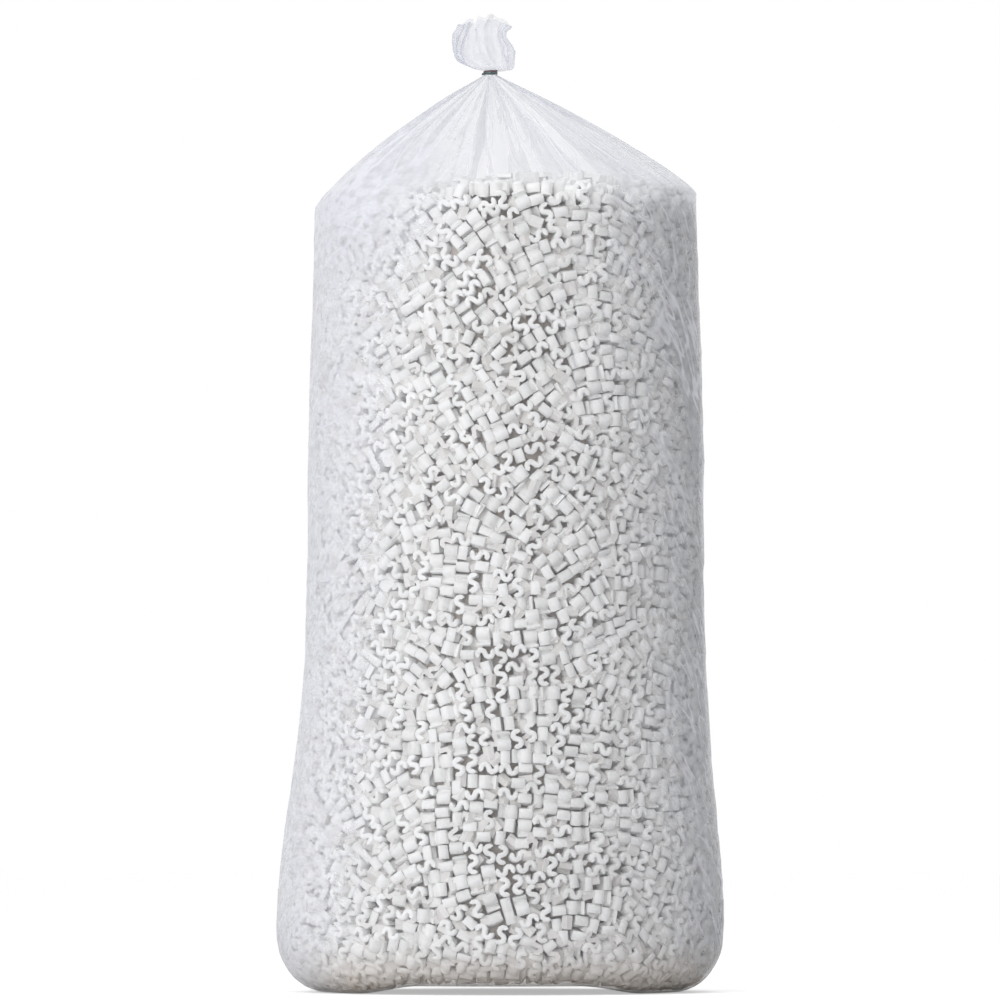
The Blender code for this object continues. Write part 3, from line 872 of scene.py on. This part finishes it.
def make_peanuts(fill, foam, shaded):
    fine = {
        "face": [peanut_mesh("s_peanut", 6, "top", way) for way in (1, -1)],
        "side": [peanut_mesh("long_peanut", 4, "top bottom", way) for way in (1, -1)],
        "end": [peanut_mesh("end_peanut", 4, "top bottom", way) for way in (1, -1)],
    }
    plain = {kind: [peanut_mesh("deep_peanut", 4, "", way) for way in (1, -1)] for kind in KINDS}
    random = np.random.default_rng(1)

    def pick(placed, templates):
        return [(templates[kind][random.integers(2)], matrix) for kind, matrix in placed]

    top = SHOULDER - FILL_TOP_DROP - 0.014
    low = SOLE_END + 0.004
    outer, gaps, room = wall_peanuts(FILM_CLEARANCE, random, low, top, 0.05, (0.34, 0.28, 0.38))
    outer = pick(outer, fine)
    for band in range(WALL_BANDS):
        chunk = outer[band * len(outer) // WALL_BANDS:(band + 1) * len(outer) // WALL_BANDS]
        pile_peanuts(f"peanuts_at_film_{band + 1}", chunk, foam, random)
    heap = pick(heap_peanuts(fill, PEANUT_AREA * HEAP_CROWDING, random), fine)
    pile_peanuts("peanuts_on_top", heap, foam, random)
    behind = pick(gap_peanuts(gaps, room, random), plain)
    pile_peanuts("peanuts_behind", behind, shaded, random)


def make_core(material):
    """The peanuts deep in the bag, past the two outer layers, as one dim form whose darker brownish foam is
    painted shade in the gaps between the outer peanuts.
    """
    skin = bmesh.new()
    bmesh.ops.create_uvsphere(skin, u_segments=64, v_segments=48, radius=1.0)
    height = SHOULDER_HEIGHT - FILL_TOP_DROP - 0.02
    walls = (OUTLINE[0] > 0.03) & (OUTLINE[6] < 0.05) & (LENGTHS > SOLE_END)
    for vertex in skin.verts:
        direction = vertex.co.copy()
        turn = math.atan2(direction.y, direction.x)
        rise = 0.5 + 0.5 * max(-1.0, min(1.0, direction.z * 1.08))
        z = 0.055 + (height - 0.055) * rise
        length = np.interp(z, OUTLINE[0][walls], LENGTHS[walls])
        place = Vector(film_place(np.array([turn]), np.array([length]), np.array([-0.034]))[0])
        close = min(1.0, math.hypot(direction.x, direction.y) * 2.2)
        vertex.co = (place.x * close, place.y * close, z)
    mesh = finished_mesh("peanuts_within", skin)
    mesh.shade_smooth()
    return keep_piece("peanuts_within", mesh, (material,), "foam", "peanut_fill")


# Stage, light and camera


def make_stage():
    material, tree, shader, output = shader_nodes("white_floor")
    set_inputs(shader, Base_Color=(0.86, 0.86, 0.86, 1), Roughness=0.9, Specular_IOR_Level=0.0)
    path = add_node(tree, "ShaderNodeLightPath")
    seen = times(tree, path.outputs["Is Camera Ray"], 0.45)
    glow = add_node(tree, "ShaderNodeEmission", {"Strength": seen})
    added = add_node(tree, "ShaderNodeAddShader", {0: shader.outputs[0], 1: glow.outputs[0]})
    tree.links.new(added.outputs[0], output.inputs["Surface"])
    skin = bmesh.new()
    bmesh.ops.create_grid(skin, x_segments=1, y_segments=1, size=60)
    mesh = finished_mesh("floor", skin)
    mesh.materials.append(material)
    floor = bpy.data.objects.new("floor", mesh)
    bpy.context.scene.collection.objects.link(floor)
    floor.location.z = -0.0005


def make_world():
    world = bpy.data.worlds.new("studio")
    world.use_nodes = True
    bpy.context.scene.world = world
    tree = world.node_tree
    background = tree.nodes["Background"]
    direction = add_node(tree, "ShaderNodeTexCoord").outputs["Generated"]
    parts = add_node(tree, "ShaderNodeSeparateXYZ", {0: direction})
    behind = map_range(tree, parts.outputs["Y"], -0.1, 0.9, 0.0, 0.12)
    left = map_range(tree, parts.outputs["X"], 0.45, -0.8, 0.0, 0.46)
    above = map_range(tree, parts.outputs["Z"], 0.1, 1.0, 0.0, 0.40)
    plain = plus(tree, behind, left, plus(tree, above, 0.17))
    path = add_node(tree, "ShaderNodeLightPath")
    direct = math_node(tree, "MAXIMUM", path.outputs["Is Camera Ray"], path.outputs["Is Glossy Ray"])
    direct = math_node(tree, "MAXIMUM", direct, path.outputs["Is Transmission Ray"])
    seen = add_node(tree, "ShaderNodeMix", {0: direct, 2: plain, 3: 1.0})
    tree.links.new(seen.outputs[0], background.inputs["Strength"])
    background.inputs["Color"].default_value = (1, 1, 1, 1)


def make_lamp(name, place, aim, width, height, power):
    lamp = bpy.data.lights.new(name, "AREA")
    lamp.shape = "RECTANGLE"
    lamp.size, lamp.size_y, lamp.energy = width, height, power
    made = bpy.data.objects.new(name, lamp)
    made.location = place
    made.rotation_euler = (Vector(aim) - Vector(place)).to_track_quat("-Z", "Y").to_euler()
    made.visible_glossy = False
    bpy.context.scene.collection.objects.link(made)


def make_camera():
    camera = bpy.data.cameras.new("camera")
    made = bpy.data.objects.new("camera", camera)
    bpy.context.scene.collection.objects.link(made)
    bpy.context.scene.camera = made
    aim = Vector((0.0, 0.0, AIM_HEIGHT))
    made.location = (0.0, -CAMERA_DISTANCE, CAMERA_HEIGHT)
    made.rotation_euler = (aim - made.location).to_track_quat("-Z", "Y").to_euler()
    camera.sensor_width = SENSOR_WIDTH
    camera.lens = SENSOR_WIDTH * (aim - made.location).length / (METRES_PER_PIXEL * PIXELS_ACROSS)
    camera.clip_end = 200


foam = foam_material("white_foam", (0.84, 0.84, 0.83), (0.945, 0.945, 0.94))
shaded_foam = foam_material("shaded_foam", (0.73, 0.71, 0.69), (0.84, 0.825, 0.81))
# Darker brownish foam for the deep core: painted shade seen through the gaps between the outer peanuts
painted_shade_core = foam_material("painted_shade_core", (0.61, 0.54, 0.48), (0.78, 0.72, 0.66))
tie = tie_material()
for name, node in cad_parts.items():
    if name == "neck_tie" or name.startswith("peanut_") and name != "peanut_fill":
        node.data.materials.clear()
        node.data.materials.append(tie if name == "neck_tie" else foam)
make_film(film_material(), film_inside_material())
make_peanuts(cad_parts["peanut_fill"], foam, shaded_foam)
make_core(painted_shade_core)
make_stage()
make_world()
make_lamp("left_softbox", (-2.2, -4.4, 1.8), (0, 0, 0.85), 3.8, 3.8, 95)
make_lamp("top_softbox", (0.7, -0.7, 4.2), (0, 0, 1.3), 3.0, 2.4, 33)
make_camera()
scene = bpy.context.scene
scene.view_settings.view_transform = "Standard"
scene.cycles.transparent_max_bounces = 32
